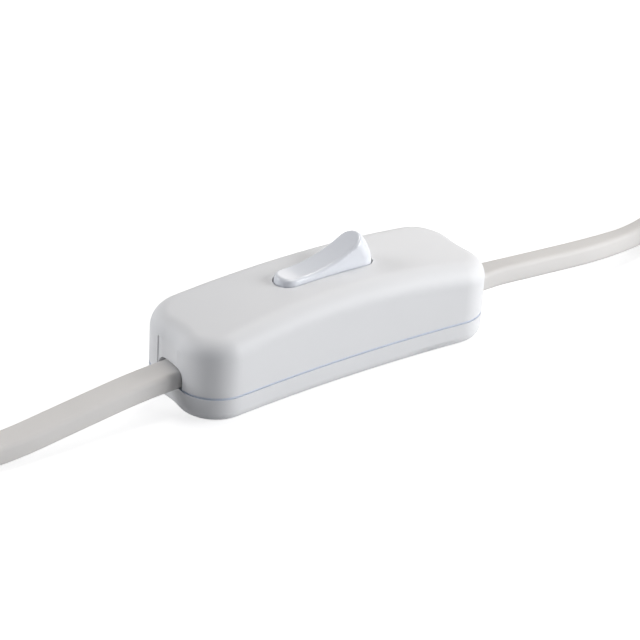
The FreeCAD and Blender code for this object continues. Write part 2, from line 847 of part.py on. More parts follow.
def coil(place, side):
    """The outer shape of spare cord wound into an oval: two runs away from the switch, and two folds."""
    near = str(place[0])
    far = f"{near} + {side} * coil_run"
    run = (near, far) if side > 0 else (far, near)

    def oval(radius, low, high):
        return fuse(
            block(run, centred(str(place[1]), f"2 * ({radius})"), (low, high)),
            rod("z", radius, low, high, x=near, y=str(place[1])),
            rod("z", radius, low, high, x=far, y=str(place[1])),
        )

    return cut(
        oval("coil_fold + coil_band / 2", "0", "coil_height"),
        oval("coil_fold - coil_band / 2", "-coil_height", "2 * coil_height"),
    )


def rounded_rectangle(width, thick, corner):
    """A rounded rectangle about the origin, its width along X."""
    sketch = doc.addObject("Sketcher::SketchObject", "section")
    half_x, half_y = f"({width}) / 2 - {corner}", f"({thick}) / 2 - {corner}"
    x, y, radius = number(half_x), number(half_y), number(corner)
    quarter = math.pi / 2
    arcs = [
        sketch_arc((side_x * x, side_y * y), radius, turn * quarter, (turn + 1) * quarter)
        for turn, (side_x, side_y) in enumerate(QUARTERS)
    ]
    sides = [Part.LineSegment(arcs[i].EndPoint, arcs[(i + 1) % 4].StartPoint) for i in range(4)]
    sketch.addGeometry(arcs + sides, False)
    corner_centres(sketch, range(4), half_x, half_y)
    constrain(sketch, "Radius", 0, size=corner)
    for arc in (1, 2, 3):
        constrain(sketch, "Equal", 0, arc)
    for arc in range(4):
        constrain(sketch, "Tangent", arc, 2, 4 + arc, 1)
        constrain(sketch, "Tangent", 4 + arc, 2, (arc + 1) % 4, 1)
    return sketch


def plug_body():
    """The flat two-pin plug's body, lofted from its cord end to a grip and its front block."""
    stations = [
        ("0", "plug_tail_width", "plug_tail_thick", "plug_tail_round"),
        ("plug_length / 2 - plug_front / 2", "plug_waist", "plug_thick", "plug_round"),
        ("plug_length - plug_front", "plug_width", "plug_thick", "plug_round"),
        ("plug_length", "plug_width", "plug_thick", "plug_round"),
    ]
    sections = []
    for along, width, thick, corner in stations:
        sketch = rounded_rectangle(width, thick, corner)
        sketch.Placement.Rotation = Rotation(Vector(1, 1, 1), 120)
        sections.append(put(sketch, x=f"{PLUG_AT[0]} - ({along})", y=str(PLUG_AT[1]), z=PLUG_Z))
    obj = doc.addObject("Part::Loft", "plug")
    obj.Sections = sections
    obj.Solid = True
    obj.Ruled = True
    return obj


def plug_pins():
    parts = []
    face = f"{PLUG_AT[0]} - plug_length"
    tip = f"{face} - pin_length + pin_radius"
    for side in (-1, 1):
        y = f"{PLUG_AT[1]} + {side} * pin_pitch / 2"
        parts.append(fuse(
            rod("x", "pin_radius", tip, face, y=y, z=PLUG_Z),
            ball("pin_radius", x=tip, y=y, z=PLUG_Z),
        ))
    return group(parts)


def tail_core(pole):
    """One core of the stripped end, level with the sheath's middle."""
    x, y = LAMP_END_AT
    pole_y = f"{y} + {pole} * core_pitch / 2"
    return rod("x", "core_radius", f"{x}", f"{x} + tail_core_length", y=pole_y, z=LEAD_Z)


def tail_strands():
    x, y = LAMP_END_AT
    start = f"{x} + tail_core_length"
    end = f"{start} + tail_strand_length"
    return group([
        rod("x", "strand_radius", start, end, y=f"{y} + {pole} * core_pitch / 2", z=LEAD_Z)
        for pole in (-1, 1)
    ])


OUTER = housing_form("0")
CAVITY = housing_form("wall")

lead_z, plug_z = number(LEAD_Z), number(PLUG_Z)
plug_lead_route = [
    *[(*place, lead_z) for place in PLUG_LEAD_ROUTE[:-1]],
    *[(*place, plug_z) for place in (PLUG_LEAD_ROUTE[-1], PLUG_AT)],
]
lamp_lead_route = [(*place, lead_z) for place in (*LAMP_LEAD_ROUTE, LAMP_END_AT)]

pieces = {
    "top_cover": top_cover(),
    "bottom_cover": bottom_cover(),
    "rocker": rocker(),
    "rocker_spring": rocker_spring(),
    "spring_plunger": spring_plunger(),
    "contact_bridge": contact_bridge(),
    "moving_contact": moving_contact(),
    "fixed_contact": fixed_contact(),
    "live_in_terminal": live_in_terminal(),
    "live_out_terminal": live_out_terminal(),
    "neutral_link": neutral_link(),
    "terminal_screws": terminal_screws(),
    "cord_clamp_left": cord_clamp(-1),
    "cord_clamp_right": cord_clamp(1),
    "clamp_screws": clamp_screws(),
    "housing_screws": housing_screws(),
    "cord_left": cord("cord_left", -1, CORD_LEFT_ROUTE),
    "cord_right": cord("cord_right", 1, CORD_RIGHT_ROUTE),
    "coil_left": coil(COIL_LEFT_AT, -1),
    "coil_right": coil(COIL_RIGHT_AT, 1),
    "plug_lead": tube("plug_lead", plug_lead_route, cord_section()),
    "plug_body": plug_body(),
    "plug_pins": plug_pins(),
    "lamp_lead": tube("lamp_lead", lamp_lead_route, cord_section()),
    "lamp_live_core": tail_core(-1),
    "lamp_neutral_core": tail_core(1),
    "lamp_strands": tail_strands(),
}
for side_name, side in (("left", -1), ("right", 1)):
    for pole_name, pole in (("live", -1), ("neutral", 1)):
        core_name = f"{pole_name}_core_{side_name}"
        pieces[core_name] = core(core_name, side, pole, f"{pole_name}_y")
        pieces[f"{pole_name}_strands_{side_name}"] = strands(side, f"{pole_name}_y")

for name, piece in pieces.items():
    piece.Label = name
doc.recompute()

for obj in doc.Objects:
    if {"Invalid", "Error"} & set(obj.State):
        raise RuntimeError(f"{obj.Name} ({obj.Label}) failed: {obj.State}")
for name, piece in pieces.items():
    if piece.Shape.isNull() or not piece.Shape.isValid():
        raise RuntimeError(f"{name} has no valid shape")

os.makedirs("parts", exist_ok=True)
for name, piece in pieces.items():
    piece.Shape.exportStep(f"parts/{name}.step")
    print(f"{name}: {len(piece.Shape.Solids)} solids, {piece.Shape.Volume:.1f} mm3")
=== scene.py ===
# An inline rocker switch on a flat lamp cord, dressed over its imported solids.
# Lengths are in metres, in the frame of the solids, and MM turns millimetres into them.
import math

import bpy
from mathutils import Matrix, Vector


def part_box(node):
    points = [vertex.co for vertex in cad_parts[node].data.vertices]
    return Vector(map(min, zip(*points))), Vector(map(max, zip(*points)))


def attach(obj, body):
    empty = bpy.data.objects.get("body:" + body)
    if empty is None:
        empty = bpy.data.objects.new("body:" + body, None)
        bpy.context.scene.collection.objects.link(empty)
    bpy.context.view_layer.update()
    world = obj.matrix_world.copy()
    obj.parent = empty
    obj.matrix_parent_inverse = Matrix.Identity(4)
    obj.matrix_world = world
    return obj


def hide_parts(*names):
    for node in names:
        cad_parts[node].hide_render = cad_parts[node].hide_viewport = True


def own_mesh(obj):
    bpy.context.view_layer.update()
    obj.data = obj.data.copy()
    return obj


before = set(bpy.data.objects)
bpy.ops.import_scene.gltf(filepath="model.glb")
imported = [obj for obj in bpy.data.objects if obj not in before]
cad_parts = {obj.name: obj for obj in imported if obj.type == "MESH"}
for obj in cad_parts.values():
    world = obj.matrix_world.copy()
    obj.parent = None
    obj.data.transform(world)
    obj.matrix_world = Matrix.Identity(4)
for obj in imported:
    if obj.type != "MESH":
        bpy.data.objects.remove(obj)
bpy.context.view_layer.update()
MM = 0.001


# The camera stands where the photograph was taken from: a long lens at the near left of the
# switch, some 29 degrees above it, with a slight roll.
photo_lens = bpy.data.cameras.new("photo_camera")
photo_lens.sensor_width = 36.0
photo_lens.lens = 144.107
camera = bpy.data.objects.new("photo_camera", photo_lens)
camera.location = (-280.68 * MM, -358.84 * MM, 260.45 * MM)
camera.rotation_euler = [math.radians(angle) for angle in (60.9954, -2.9315, -36.4079)]
bpy.context.collection.objects.link(camera)
bpy.context.scene.camera = camera
bpy.context.scene.view_settings.view_transform = "Standard"


# The floor is a sheet of white card, faintly clouded by its fibres. What the camera sees of it,
# also in a reflection, has some light of its own, so that the card is white and still keeps the
# shadow of the switch.
CARD_HALF = 2.0
CARD_BELOW = 0.02 * MM
CARD_GLOW = 0.74
CARD_CLOUD = 4.0 * MM


def linear(hex_colour):
    """An sRGB hex value as the linear colour that a shader takes."""
    shares = [int(hex_colour[i:i + 2], 16) / 255 for i in (1, 3, 5)]
    return [s / 12.92 if s <= 0.04045 else ((s + 0.055) / 1.055) ** 2.4 for s in shares] + [1.0]


def add(material, kind, sockets, **settings):
    """Adds a node. Each socket takes a value, or the output of another node."""
    made = material.node_tree.nodes.new(kind)
    for name, value in settings.items():
        setattr(made, name, value)
    for name, value in sockets.items():
        if isinstance(value, bpy.types.NodeSocket):
            material.node_tree.links.new(value, made.inputs[name])
        else:
            made.inputs[name].default_value = value
    return made


def new_material(name):
    """A material with an empty node tree."""
    made = bpy.data.materials.new(name)
    made.use_nodes = True
    made.node_tree.nodes.clear()
    return made


def new_piece(name, verts, faces, material, smooth=True):
    """A mesh object in the frame of the solids."""
    mesh = bpy.data.meshes.new(name)
    mesh.from_pydata(verts, [], faces)
    mesh.materials.append(material)
    for polygon in mesh.polygons:
        polygon.use_smooth = smooth
    made = bpy.data.objects.new(name, mesh)
    bpy.context.collection.objects.link(made)
    return made


white_card = new_material("white_card_matt")
card_light = add(white_card, "ShaderNodeLightPath", {})
card_seen = add(white_card, "ShaderNodeMath", {
    0: card_light.outputs["Is Camera Ray"],
    1: card_light.outputs["Is Glossy Ray"],
}, operation="MAXIMUM")
card_seen = add(white_card, "ShaderNodeMath", {
    0: card_seen.outputs[0],
    1: card_light.outputs["Is Transmission Ray"],
}, operation="MAXIMUM")
card_glow = add(white_card, "ShaderNodeMath", {
    0: card_seen.outputs[0],
    1: CARD_GLOW,
}, operation="MULTIPLY")
card_fibres = add(white_card, "ShaderNodeTexNoise", {"Scale": 1 / CARD_CLOUD, "Detail": 3.0})
card_tone = add(white_card, "ShaderNodeMix", {
    "Factor": card_fibres.outputs["Fac"],
    "A": linear("#BBBBBB"),
    "B": linear("#BFBFBF"),
}, data_type="RGBA")
card_shader = add(white_card, "ShaderNodeBsdfPrincipled", {
    "Base Color": card_tone.outputs["Result"],
    "Roughness": 0.9,
    "Specular IOR Level": 0.1,
    "Emission Color": linear("#FFFFFF"),
    "Emission Strength": card_glow.outputs[0],
})
add(white_card, "ShaderNodeOutputMaterial", {"Surface": card_shader.outputs[0]})
card = new_piece(
    "floor_card",
    [(x * CARD_HALF, y * CARD_HALF, 0) for x, y in ((-1, -1), (1, -1), (1, 1), (-1, 1))],
    [(0, 1, 2, 3)],
    white_card,
)
card.location.z = -CARD_BELOW


# Two softboxes stand left and right of the camera's line, a narrow one hangs over the switch along
# its length, and a weak one stands behind it for the sheen on top. No lamp stands at the camera, so
# the corner that faces it stays dark.
def softbox(name, place, width, height, watts, tone="#FFFFFF"):
    """A soft lamp of that size, aimed at the switch."""
    lamp = bpy.data.lights.new(name, "AREA")
    lamp.shape = "RECTANGLE"
    lamp.size = width
    lamp.size_y = height
    lamp.energy = watts
    lamp.color = linear(tone)[:3]
    made = bpy.data.objects.new(name, lamp)
    made.location = place
    made.rotation_euler = (-Vector(place)).to_track_quat("-Z", "Y").to_euler()
    bpy.context.collection.objects.link(made)


softbox("softbox_left", (-0.72, 0.50, 0.36), 0.6, 0.6, 4.8)
softbox("softbox_right", (0.68, -0.61, 0.29), 0.6, 0.6, 9.3)
softbox("softbox_over", (0.30, 0.16, 0.91), 0.25, 0.6, 3.9, "#FFFAF3")
softbox("softbox_far", (0.62, 0.64, 0.32), 0.4, 0.4, 0.9, "#FFFAF3")
studio = bpy.data.worlds.new("studio_walls")
studio.use_nodes = True
studio.node_tree.nodes["Background"].inputs["Color"].default_value = linear("#CCDCFA")
studio.node_tree.nodes["Background"].inputs["Strength"].default_value = 0.08
bpy.context.scene.world = studio


# The flat two-core cord has a sheath of soft PVC, 6.4 by 4 mm, drawn through a die, and is clamped
# inside both ends of the housing. Its unseen length is wound on edge into a flat hank at each side.
CORD_WIDTH = 6.4 * MM
CORD_THICK = 4.0 * MM
CORD_ROUND = 1.0 * MM
CORD_CORNER_STEPS = 5
CORD_PATH_STEPS = 7
# Lengths along the cord between which it takes up its lean, and where it stands on edge. Before
# its far end it lies down level again.
LEAN_FROM = 11.0 * MM
LEAN_FULL = 20.0 * MM
ON_EDGE_AT = 130.0 * MM
LEVEL_FROM_END = 40.0 * MM
LEVEL_BY_END = 12.0 * MM
HANK_RUN = 50.0 * MM
FOLD_OUTER = 20.9 * MM
FOLD_INNER = 16.7 * MM
HANK_FLOOR = 3.75 * MM
HANK_ENTRY_DIP = 0.2 * MM
HANK_LAYER = 6.45 * MM
HANK_LEAVE = 3.2 * MM
HANK_TURNS = 3
HANK_POINTS = 36
RUN_SHARE = 0.227
# The turns between which the cord comes in, moves to the inner turn, climbs to the upper layer,
# moves to the outer turn and leaves the hank.
ENTRY_TURNS = (0.0, 0.1)
INWARD_TURNS = (0.52, 0.7)
CLIMB_TURNS = (1.27, 1.47)
OUTWARD_TURNS = (2.1, 2.227)
LEAVE_TURNS = (2.85, 3.0)


def from_mm(*points):
    """Points given in millimetres, turned into metres."""
    return [tuple(value * MM for value in point) for point in points]


def eased(value, start, end):
    """0 before start, 1 after end, and smooth between them."""
    share = min(max((value - start) / (end - start), 0.0), 1.0)
    return share * share * (3 - 2 * share)


def hank(near_fold, way):
    """The hank's points from its +Y run on: outer and inner turn below, inner and outer on top."""
    points = []
    for step in range(HANK_TURNS * HANK_POINTS + 1):
        turn = step / HANK_POINTS
        inward = eased(turn, *INWARD_TURNS) - eased(turn, *OUTWARD_TURNS)
        radius = FOLD_OUTER - (FOLD_OUTER - FOLD_INNER) * inward
        height = HANK_FLOOR - HANK_ENTRY_DIP * (1 - eased(turn, *ENTRY_TURNS))
        height += HANK_LAYER * eased(turn, *CLIMB_TURNS) + HANK_LEAVE * eased(turn, *LEAVE_TURNS)
        half, share = divmod(2 * (turn % 1.0), 1.0)
        outward = 1 - 2 * half
        run = HANK_RUN * min(share / (2 * RUN_SHARE), 1.0)
        fold = math.pi * max(share - 2 * RUN_SHARE, 0.0) / (1 - 2 * RUN_SHARE)
        along = HANK_RUN * half + outward * (run + radius * math.sin(fold))
        across = outward * radius * math.cos(fold)
        points.append((near_fold[0] + way * along, near_fold[1] + across, height))
    return points


def spline_path(points):
    """Close points along the smooth NURBS spline of a route."""
    curve = bpy.data.curves.new("route", "CURVE")
    curve.dimensions = "3D"
    curve.resolution_u = CORD_PATH_STEPS
    spline = curve.splines.new("NURBS")
    spline.points.add(len(points) - 1)
    for made, point in zip(spline.points, points):
        made.co = (*point, 1.0)
    spline.order_u = 3
    spline.use_endpoint_u = True
    holder = bpy.data.objects.new("route", curve)
    line = bpy.data.meshes.new_from_object(holder)
    path = [vertex.co.copy() for vertex in line.vertices]
    bpy.data.objects.remove(holder)
    bpy.data.curves.remove(curve)
    bpy.data.meshes.remove(line)
    return path


def rounded_outline(width, height, corner, steps):
    """The points of a rectangle with round corners, about the origin."""
    outline = []
    for quarter, (side, top) in enumerate(((1, 1), (-1, 1), (-1, -1), (1, -1))):
        for step in range(steps + 1):
            angle = math.pi / 2 * (quarter + step / steps)
            outline.append((
                side * (width / 2 - corner) + corner * math.cos(angle),
                top * (height / 2 - corner) + corner * math.sin(angle),
            ))
    return outline


def skin(rings):
    """The points and faces of a closed skin over rings of equally many points, ends filled."""
    count = len(rings[0])
    faces = []
    for ring in range(len(rings) - 1):
        for point in range(count):
            after = (point + 1) % count
            faces.append((
                ring * count + point, ring * count + after,
                (ring + 1) * count + after, (ring + 1) * count + point,
            ))
    faces.append(tuple(reversed(range(count))))
    faces.append(tuple(range((len(rings) - 1) * count, len(rings) * count)))
    return [point for ring in rings for point in ring], faces


def flat_cord(name, path, material, lean, turn_from):
    """The cord's skin: at a lean outside the switch, on edge in the hank and level at its far end."""
    along = [0.0]
    for before, after in zip(path, path[1:]):
        along.append(along[-1] + (after - before).length)
    end = along[-1]
    outline = rounded_outline(CORD_WIDTH, CORD_THICK, CORD_ROUND, CORD_CORNER_STEPS)
    rings = []
    for index, point in enumerate(path):
        ahead = (path[min(index + 1, len(path) - 1)] - path[max(index - 1, 0)]).normalized()
        side = Vector((0, 0, 1)).cross(ahead).normalized()
        upward = ahead.cross(side)
        roll = lean * eased(along[index], LEAN_FROM, LEAN_FULL)
        to_edge = math.copysign(math.pi / 2, lean) - lean
        roll += to_edge * eased(along[index], turn_from, ON_EDGE_AT)
        roll *= 1 - eased(along[index], end - LEVEL_FROM_END, end - LEVEL_BY_END)
        broad = side * math.cos(roll) + upward * math.sin(roll)
        thin = upward * math.cos(roll) - side * math.sin(roll)
        rings.append([point + broad * a + thin * b for a, b in outline])
    made = new_piece(name, *skin(rings), material)
    layer = made.data.uv_layers.new(name="cord_lines")
    count = len(outline)
    for loop in made.data.loops:
        ring, place = divmod(loop.vertex_index, count)
        layer.data[loop.index].uv = (along[ring], place / count)
    return made, end


# Soft PVC has a dull, broad sheen. On the cord it is a warm light grey, with faint drawn lines along
# it: they are 0.2 mm apart on the real cord and are drawn about three times as coarse.
PVC_CLOUD = 9.0 * MM
PVC_GRAIN = 0.7 * MM
PVC_RELIEF = 0.05 * MM
LINE_LENGTH = 14.0 * MM
LINES_ROUND = 28.0


def soft_pvc(name, light_tone, dark_tone, roughness):
    """Soft PVC, clouded between two close tones."""
    made = new_material(name)
    place = add(made, "ShaderNodeTexCoord", {})
    cloud = add(made, "ShaderNodeTexNoise", {
        "Vector": place.outputs["Object"], "Scale": 1 / PVC_CLOUD, "Detail": 4.0, "Roughness": 0.55,
    })
    tone = add(made, "ShaderNodeMix", {
        "Factor": cloud.outputs["Fac"], "A": linear(dark_tone), "B": linear(light_tone),
    }, data_type="RGBA")
    lines = add(made, "ShaderNodeMapping", {
        "Vector": place.outputs["UV"], "Scale": (1 / LINE_LENGTH, LINES_ROUND, 1.0),
    })
    drawn = add(made, "ShaderNodeTexNoise", {
        "Vector": lines.outputs[0], "Scale": 1.0, "Detail": 2.0,
    })
    grain = add(made, "ShaderNodeTexNoise", {
        "Vector": place.outputs["Object"], "Scale": 1 / PVC_GRAIN, "Detail": 2.0,
    })
    relief = add(made, "ShaderNodeMath", {
        0: drawn.outputs["Fac"], 1: grain.outputs["Fac"],
    }, operation="ADD")
    bump = add(made, "ShaderNodeBump", {
        "Height": relief.outputs[0], "Strength": 0.25, "Distance": PVC_RELIEF,
    })
    rough = add(made, "ShaderNodeMapRange", {
        "Value": cloud.outputs["Fac"], "To Min": roughness - 0.06, "To Max": roughness + 0.06,
    })
    shader = add(made, "ShaderNodeBsdfPrincipled", {
        "Base Color": tone.outputs["Result"],
        "Roughness": rough.outputs["Result"],
        "Normal": bump.outputs[0],
        "IOR": 1.53,
    })
    add(made, "ShaderNodeOutputMaterial", {"Surface": shader.outputs[0]})
    return made


cord_pvc = soft_pvc("soft_pvc_drawn", "#E0DEDC", "#D9D7D5", 0.66)
LEFT_LEAN = 0.0
LEFT_TURN_FROM = 75.0 * MM
LEFT_ROUTE = from_mm(
    (-26.5, -0.9, 7.4), (-40.0, -0.9, 7.45), (-58.0, -0.9, 5.0),
    (-78.0, -1.4, 2.5), (-92.0, 2.0, 2.4), (-106.0, 9.5, 3.3),
)
LEFT_HANK_AT = (-120.0 * MM, -7.12 * MM)
PLUG_LEAD = from_mm(
    (-129.0, 13.4, 16.0), (-138.0, 9.0, 18.5), (-147.0, 1.5, 20.0),
    (-154.0, -1.0, 20.25), (-163.0, -1.0, 20.25),
)
left_path = spline_path(LEFT_ROUTE + hank(LEFT_HANK_AT, -1) + PLUG_LEAD)
left_cord, left_length = flat_cord("cord_to_plug", left_path, cord_pvc, LEFT_LEAN, LEFT_TURN_FROM)
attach(left_cord, "housing")
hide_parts("cord_left", "coil_left", "plug_lead")

RIGHT_LEAN = math.radians(-11)
RIGHT_TURN_FROM = 40.0 * MM
RIGHT_ROUTE = from_mm(
    (26.5, -0.9, 7.4), (40.0, -0.9, 7.45), (57.0, -0.9, 6.2),
    (75.0, -0.7, 4.9), (92.0, 2.2, 3.25), (110.0, 9.8, 3.55),
)
RIGHT_HANK_AT = (124.0 * MM, -6.9 * MM)
LAMP_LEAD = from_mm(
    (133.0, 13.7, 16.9), (143.0, 12.9, 17.0), (152.0, 12.85, 15.5),
    (160.5, 12.85, 15.4),
)
right_path = spline_path(RIGHT_ROUTE + hank(RIGHT_HANK_AT, 1) + LAMP_LEAD)
right_cord, right_length = flat_cord("cord_to_lamp", right_path, cord_pvc, RIGHT_LEAN, RIGHT_TURN_FROM)
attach(right_cord, "housing")
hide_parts("cord_right", "coil_right", "lamp_lead")


# Each hank is held by a flat wire tie: a thin plastic ribbon with a wire in it, laid once round
# the turns, its two ends twisted together on top.
TIE_WIDTH = 4.0 * MM
TIE_THICK = 0.45 * MM
TIE_ROUND = 3.0 * MM
TIE_CORNER_STEPS = 6
TWIST_LENGTH = 11.0 * MM
TWIST_TURNS = 2.0
TWIST_STEPS = 28
TWIST_APART = 0.35 * MM
TWIST_NARROW = 0.5
TWIST_INWARD = 0.9
TWIST_UPWARD = 0.28
tie_pvc = soft_pvc("pvc_ribbon_calendered", "#F0EFEA", "#E6E4DE", 0.38)


def ribbon(line, across, outward):
    """One ring of a flat ribbon for each point of its line."""
    rings = []
    for point, wide, thick in zip(line, across, outward):
        half_wide = wide * (TIE_WIDTH / 2)
        half_thick = thick * (TIE_THICK / 2)
        rings.append([
            point - half_wide - half_thick, point + half_wide - half_thick,
            point + half_wide + half_thick, point - half_wide + half_thick,
        ])
    return rings


def wire_tie(name, near_fold, way):
    """A ribbon round the middle of the hank's -Y run, with its twisted ends leaning inward on top."""
    out = Vector((0, -1, 0))
    along = Vector((1, 0, 0))
    up = Vector((0, 0, 1))
    low = HANK_FLOOR - CORD_WIDTH / 2 - TIE_THICK / 2
    high = HANK_FLOOR + HANK_LAYER + CORD_WIDTH / 2 + TIE_THICK / 2
    reach_in = FOLD_INNER - CORD_THICK / 2 - TIE_THICK / 2
    reach_out = FOLD_OUTER + CORD_THICK / 2 + TIE_THICK / 2
    middle = Vector((near_fold[0] + way * HANK_RUN / 2, near_fold[1], (low + high) / 2))
    middle += out * ((reach_in + reach_out) / 2)
    outline = rounded_outline(reach_out - reach_in, high - low, TIE_ROUND, TIE_CORNER_STEPS)
    line = [middle + out * a + up * b for a, b in outline]
    outward = []
    for index in range(len(line)):
        step = line[(index + 1) % len(line)] - line[index - 1]
        outward.append(step.cross(along).normalized())
    verts, faces = skin(ribbon(line, [along] * len(line), outward))
    # The ribbon meets itself, so a last row of faces takes the place of its two ends.
    faces = faces[:-2]
    last = 4 * (len(line) - 1)
    for point in range(4):
        after = (point + 1) % 4
        faces.append((last + point, last + after, after, point))
    top = middle + up * ((high - low) / 2 + TIE_THICK)
    lean = (-out * TWIST_INWARD + up * TWIST_UPWARD).normalized()
    for strand in (0, math.pi):
        line, across, outward = [], [], []
        for step in range(TWIST_STEPS + 1):
            share = step / TWIST_STEPS
            turn = strand + 2 * math.pi * TWIST_TURNS * share
            spoke = along * math.cos(turn) + lean.cross(along) * math.sin(turn)
            line.append(top + lean * (TWIST_LENGTH * share) + spoke * TWIST_APART)
            across.append(spoke * TWIST_NARROW)
            outward.append(lean.cross(across[-1]).normalized())
        twist_verts, twist_faces = skin(ribbon(line, across, outward))
        faces += [tuple(len(verts) + corner for corner in face) for face in twist_faces]
        verts += twist_verts
    made = new_piece(name, verts, faces, tie_pvc, smooth=False)
    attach(made, "housing")
    return made


left_tie = wire_tie("wire_tie_left", LEFT_HANK_AT, -1)
right_tie = wire_tie("wire_tie_right", RIGHT_HANK_AT, 1)


# The plug is flat and moulded on to the cord's end from soft PVC: a narrow tail that flares to a
# wide front with softened edges, and finger grooves across both flat sides.
PLUG_TAIL_AT = Vector((-160.0 * MM, -1.0 * MM, 20.25 * MM))
PLUG_LENGTH = 36.0 * MM
PLUG_RINGS = 144
TAIL_WIDTH = 12.0 * MM
TAIL_THICK = 9.0 * MM
PLUG_WIDTH = 35.0 * MM
PLUG_THICK = 13.7 * MM
# The front keeps this share of the growth, so that the skin stays within the solid.
PLUG_GROWTH = 0.985
FLARE_FROM = -12.0 * MM
FLARE_TO = 30.0 * MM
SWELL_FROM = -4.0 * MM
SWELL_TO = 15.0 * MM
PLUG_ROUND = 5.0 * MM
PLUG_ROUND_SHARE = 0.42
PLUG_CORNER_STEPS = 8
GRIP_START = 10.5 * MM
GRIP_PITCH = 2.6 * MM
GRIP_DEEP = 0.7 * MM
GRIP_COUNT = 6
FRONT_SOFT = 1.6 * MM
flare_at_tail = eased(0, FLARE_FROM, FLARE_TO)
plug_rings = []
for ring in range(PLUG_RINGS + 1):
    along = PLUG_LENGTH * ring / PLUG_RINGS
    spread = (eased(along, FLARE_FROM, FLARE_TO) - flare_at_tail) / (1 - flare_at_tail)
    width = TAIL_WIDTH + (PLUG_WIDTH - TAIL_WIDTH) * spread * PLUG_GROWTH
    swell = eased(along, SWELL_FROM, SWELL_TO)
    thick = TAIL_THICK + (PLUG_THICK - TAIL_THICK) * swell * PLUG_GROWTH
    in_grip = (along - GRIP_START) / GRIP_PITCH
    if 0 <= in_grip <= GRIP_COUNT:
        thick -= 2 * GRIP_DEEP * math.sin(math.pi * (in_grip % 1.0)) ** 2
    front = max(along - (PLUG_LENGTH - FRONT_SOFT), 0.0) / FRONT_SOFT
    pull_in = 2 * FRONT_SOFT * (1 - math.sqrt(max(1 - front * front, 0.0)))
    tail = max(FRONT_SOFT - along, 0.0) / FRONT_SOFT
    pull_in += FRONT_SOFT * (1 - math.sqrt(max(1 - tail * tail, 0.0)))
    width -= pull_in
    thick -= pull_in
    corner = min(PLUG_ROUND, PLUG_ROUND_SHARE * thick)
    outline = rounded_outline(width, thick, corner, PLUG_CORNER_STEPS)
    plug_rings.append([
        PLUG_TAIL_AT + Vector((-along, a, b)) for a, b in reversed(outline)
    ])
plug_pvc = soft_pvc("soft_pvc_moulded", "#D0CECB", "#C8C5C2", 0.5)
plug_shell = new_piece("plug_shell", *skin(plug_rings), plug_pvc)
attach(plug_shell, "housing")
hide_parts("plug_body")


# The two pins are turned from brass and nickelled, a bright, slightly warm metal, with a dark
# plastic sleeve over the 10 mm next to the plug. The turned lines are 0.1 mm apart on a real pin
# and are drawn five times as coarse.
SLEEVE_LENGTH = 10.0 * MM
SLEEVE_END = PLUG_TAIL_AT.x - PLUG_LENGTH - SLEEVE_LENGTH
PIN_LINE_PITCH = 0.5 * MM
PIN_LINE_DEEP = 0.02 * MM
PIN_RUB = 2.0 * MM


def paint(material, *names):
    """Gives CAD nodes a better material."""
    for name in names:
        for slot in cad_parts[name].material_slots:
            slot.material = material


pin_metal = new_material("nickelled_brass_turned")
pin_place = add(pin_metal, "ShaderNodeTexCoord", {})
pin_axes = add(pin_metal, "ShaderNodeSeparateXYZ", {"Vector": pin_place.outputs["Object"]})
pin_bare = add(pin_metal, "ShaderNodeMath", {
    0: pin_axes.outputs["X"], 1: SLEEVE_END,
}, operation="LESS_THAN")
pin_lines = add(pin_metal, "ShaderNodeMath", {
    0: pin_axes.outputs["X"], 1: 2 * math.pi / PIN_LINE_PITCH,
}, operation="MULTIPLY")
pin_wave = add(pin_metal, "ShaderNodeMath", {0: pin_lines.outputs[0]}, operation="SINE")
pin_rub = add(pin_metal, "ShaderNodeTexNoise", {
    "Vector": pin_place.outputs["Object"], "Scale": 1 / PIN_RUB, "Detail": 4.0,
})
pin_tone = add(pin_metal, "ShaderNodeMix", {
    "Factor": pin_bare.outputs[0], "A": linear("#3A3A3B"), "B": linear("#D6D2C8"),
}, data_type="RGBA")
pin_shine = add(pin_metal, "ShaderNodeMapRange", {
    "Value": pin_rub.outputs["Fac"], "To Min": 0.12, "To Max": 0.34,
})
pin_bump = add(pin_metal, "ShaderNodeBump", {
    "Height": pin_wave.outputs[0], "Strength": 0.08, "Distance": PIN_LINE_DEEP,
})
pin_shader = add(pin_metal, "ShaderNodeBsdfPrincipled", {
    "Base Color": pin_tone.outputs["Result"],
    "Metallic": pin_bare.outputs[0],
    "Roughness": pin_shine.outputs["Result"],
    "Normal": pin_bump.outputs[0],
})
add(pin_metal, "ShaderNodeOutputMaterial", {"Surface": pin_shader.outputs[0]})
paint(pin_metal, "plug_pins")


# The lamp end is stripped: two insulated cores stand out of the sheath, and each ends in a bare
# bundle of fine copper strands, twisted together by hand. The cores in the switch are the same.
brown_pvc = soft_pvc("core_pvc_brown", "#7A4628", "#6B3B20", 0.42)
blue_pvc = soft_pvc("core_pvc_blue", "#3B7CC4", "#316DB2", 0.42)
paint(brown_pvc, "lamp_live_core", "live_core_left", "live_core_right")
paint(blue_pvc, "lamp_neutral_core", "neutral_core_left", "neutral_core_right")
COPPER_TARNISH = 1.5 * MM
copper = new_material("annealed_copper_drawn")
copper_place = add(copper, "ShaderNodeTexCoord", {})
copper_tarnish = add(copper, "ShaderNodeTexNoise", {
    "Vector": copper_place.outputs["Object"], "Scale": 1 / COPPER_TARNISH, "Detail": 4.0,
})
copper_tone = add(copper, "ShaderNodeMix", {
    "Factor": copper_tarnish.outputs["Fac"], "A": linear("#B86E47"), "B": linear("#DB9A72"),
}, data_type="RGBA")
copper_shine = add(copper, "ShaderNodeMapRange", {
    "Value": copper_tarnish.outputs["Fac"], "To Min": 0.2, "To Max": 0.42,
})
copper_shader = add(copper, "ShaderNodeBsdfPrincipled", {
    "Base Color": copper_tone.outputs["Result"],
    "Metallic": 1.0,
    "Roughness": copper_shine.outputs["Result"],
})
add(copper, "ShaderNodeOutputMaterial", {"Surface": copper_shader.outputs[0]})
